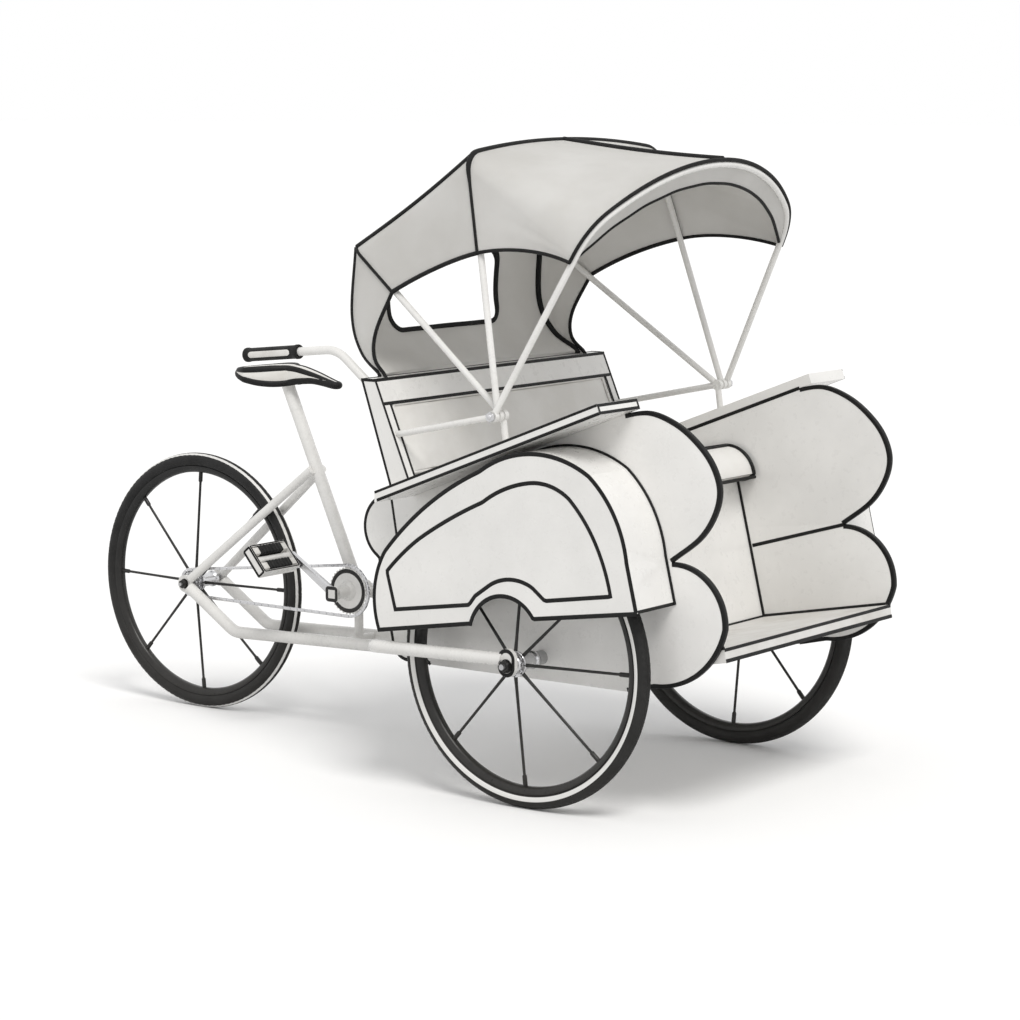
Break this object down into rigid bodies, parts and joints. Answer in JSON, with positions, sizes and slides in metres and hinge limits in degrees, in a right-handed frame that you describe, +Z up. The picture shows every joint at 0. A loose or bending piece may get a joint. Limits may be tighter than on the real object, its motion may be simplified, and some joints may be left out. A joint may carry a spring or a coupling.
{
  "type": "cycle rickshaw",
  "caption": "Pedal-driven cycle rickshaw: hooded passenger cabin with scalloped side walls between the front wheels, rider behind on a short frame.",
  "frame": {"origin": "bottom centre of the whole vehicle box, on the ground", "axes": "+X forward, towards the passenger end; +Y to the rider's left; +Z up"},
  "size_m": [2.3275, 1.112, 1.5778],
  "materials": {
    "tyre": "satin black rubber",
    "rim_paint": "gloss black enamel, spokes too",
    "wheel_steel": "bright plated steel",
    "frame_paint": "gloss off-white enamel",
    "axle_steel": "machined",
    "saddle_cover": "pale smooth cover with black edge",
    "grip_rubber": "pale ribbed grip with black ends",
    "drive_steel": "plated",
    "pedal_rubber": "black blocks",
    "body_paint": "gloss off-white enamel with black lining",
    "armrest_paint": "gloss off-white enamel with black edge",
    "floor_wood": "painted board",
    "vinyl": "ivory leathercloth with black piping",
    "hood_steel": "gloss off-white enamel",
    "hood_cloth": "off-white coated canvas with black binding"
  },
  "bodies": {
    "chassis": {"armrest_left": "armrest_paint", "armrest_right": "armrest_paint", "backrest_cushion": "vinyl", "backrest_frame": "body_paint", "bow_rear": "hood_steel", "centre_tube": "frame_paint", "chain": "drive_steel", "floor_board": "floor_wood", "frame_post": "frame_paint", "front_axle": "axle_steel", "grip_left": "grip_rubber", "grip_right": "grip_rubber", "handle_left": "frame_paint", "handle_right": "frame_paint", "hood_bracket_left": "hood_steel", "hood_bracket_right": "hood_steel", "hood_curtain_bottom": "hood_cloth", "hood_curtain_left": "hood_cloth", "hood_curtain_right": "hood_cloth", "hood_curtain_top": "hood_cloth", "lower_rail_left": "frame_paint", "lower_rail_right": "frame_paint", "mudguard_left": "body_paint", "mudguard_right": "body_paint", "rail_bridge": "frame_paint", "rear_axle": "axle_steel", "rear_panel": "body_paint", "saddle": "saddle_cover", "saddle_post": "axle_steel", "seat_box": "body_paint", "seat_cushion": "vinyl", "seat_stay_left": "frame_paint", "seat_stay_right": "frame_paint", "seat_tube": "frame_paint", "side_wall_left": "body_paint", "side_wall_right": "body_paint"},
    "front_right_wheel": {"front_right_tyre": "tyre", "front_right_rim": "rim_paint", "front_right_hub": "wheel_steel"},
    "front_left_wheel": {"front_left_tyre": "tyre", "front_left_rim": "rim_paint", "front_left_hub": "wheel_steel"},
    "rear_wheel": {"rear_tyre": "tyre", "rear_rim": "rim_paint", "rear_hub": "wheel_steel"},
    "cranks": {"crankset": "drive_steel"},
    "right_pedal": {"pedal_right_frame": "drive_steel", "pedal_right_rubbers": "pedal_rubber"},
    "left_pedal": {"pedal_left_frame": "drive_steel", "pedal_left_rubbers": "pedal_rubber"},
    "hood_middle": {"bow_middle": "hood_steel", "hood_panel_rear": "hood_cloth"},
    "hood_front": {"bow_front": "hood_steel", "hood_valance": "hood_cloth", "hood_panel_front": "hood_cloth"}
  },
  "joints": [
    {"name": "front_right_wheel_spin", "type": "hinge", "parent": "chassis", "child": "front_right_wheel", "pos_m": [0.64275, -0.4595, 0.3555], "axis": [0, 1, 0], "continuous": true},
    {"name": "front_left_wheel_spin", "type": "hinge", "parent": "chassis", "child": "front_left_wheel", "pos_m": [0.64275, 0.4595, 0.3555], "axis": [0, 1, 0], "continuous": true},
    {"name": "rear_wheel_spin", "type": "hinge", "parent": "chassis", "child": "rear_wheel", "pos_m": [-0.80825, 0, 0.3555], "axis": [0, 1, 0], "continuous": true},
    {"name": "crank_spin", "type": "hinge", "parent": "chassis", "child": "cranks", "pos_m": [-0.24825, 0, 0.385], "axis": [0, 1, 0], "continuous": true},
    {"name": "right_pedal_spin", "type": "hinge", "parent": "cranks", "child": "right_pedal", "pos_m": [-0.39179, -0.186, 0.47609], "axis": [0, 1, 0], "continuous": true},
    {"name": "left_pedal_spin", "type": "hinge", "parent": "cranks", "child": "left_pedal", "pos_m": [-0.10471, 0.186, 0.29391], "axis": [0, 1, 0], "continuous": true},
    {"name": "hood_middle_fold", "type": "hinge", "parent": "chassis", "child": "hood_middle", "pos_m": [0.58275, 0, 0.94], "axis": [0, -1, 0], "range_deg": [0, 27], "deforming": ["hood_panel_rear"]},
    {"name": "hood_front_fold", "type": "hinge", "parent": "hood_middle", "child": "hood_front", "pos_m": [0.58275, 0, 0.94], "axis": [0, -1, 0], "range_deg": [0, 32.65], "deforming": ["hood_panel_front"]}
  ],
  "couplings": [
    {"joint": "hood_front_fold", "follows": "hood_middle_fold", "ratio": 1.2074},
    {"joint": "crank_spin", "follows": "rear_wheel_spin", "ratio": 0.52941}
  ]
}
